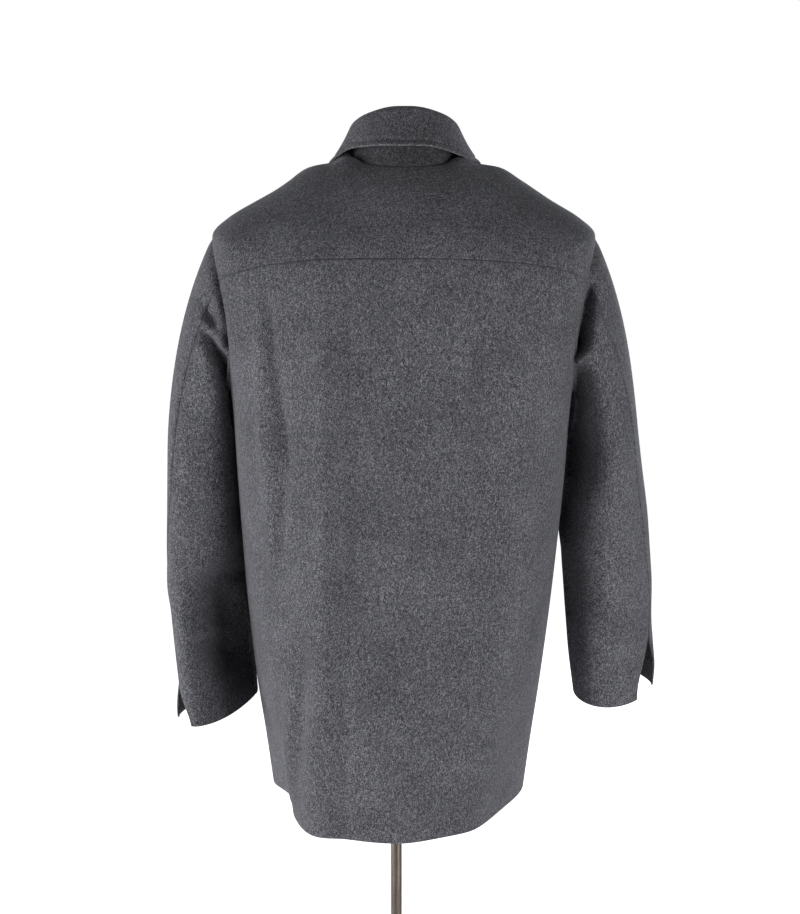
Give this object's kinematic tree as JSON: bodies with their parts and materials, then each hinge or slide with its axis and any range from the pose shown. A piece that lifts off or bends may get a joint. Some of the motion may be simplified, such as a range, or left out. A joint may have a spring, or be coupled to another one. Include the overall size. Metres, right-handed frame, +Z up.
{
  "type": "wool coat on a limbless dress form with stand",
  "caption": "Thigh-length grey wool coat with a folded collar, back yoke and two-piece sleeves, buttoned and hanging on a limbless dress form with a pole and round base.",
  "frame": {"origin": "centre of the round base's underside, on the floor", "axes": "+Z up, +Y towards the wearer's front, +X towards the wearer's right"},
  "size_m": [0.6627, 0.4003, 1.5477],
  "materials": {
    "wool": "felted heather wool with a soft nap",
    "button": "dark horn, satin",
    "form_cover": "plain jersey",
    "stand_metal": "dark brown bronze tone"
  },
  "bodies": {
    "root": {"back": "wool", "yoke": "wool", "front_left": "wool", "front_right": "wool", "sleeve_left_top": "wool", "sleeve_left_under": "wool", "sleeve_right_top": "wool", "sleeve_right_under": "wool", "collar_stand": "wool", "collar_fall": "wool", "button_1": "button", "button_2": "button", "button_3": "button", "button_4": "button", "form_torso": "form_cover", "pole": "stand_metal", "hub": "stand_metal", "base": "stand_metal"}
  },
  "joints": []
}
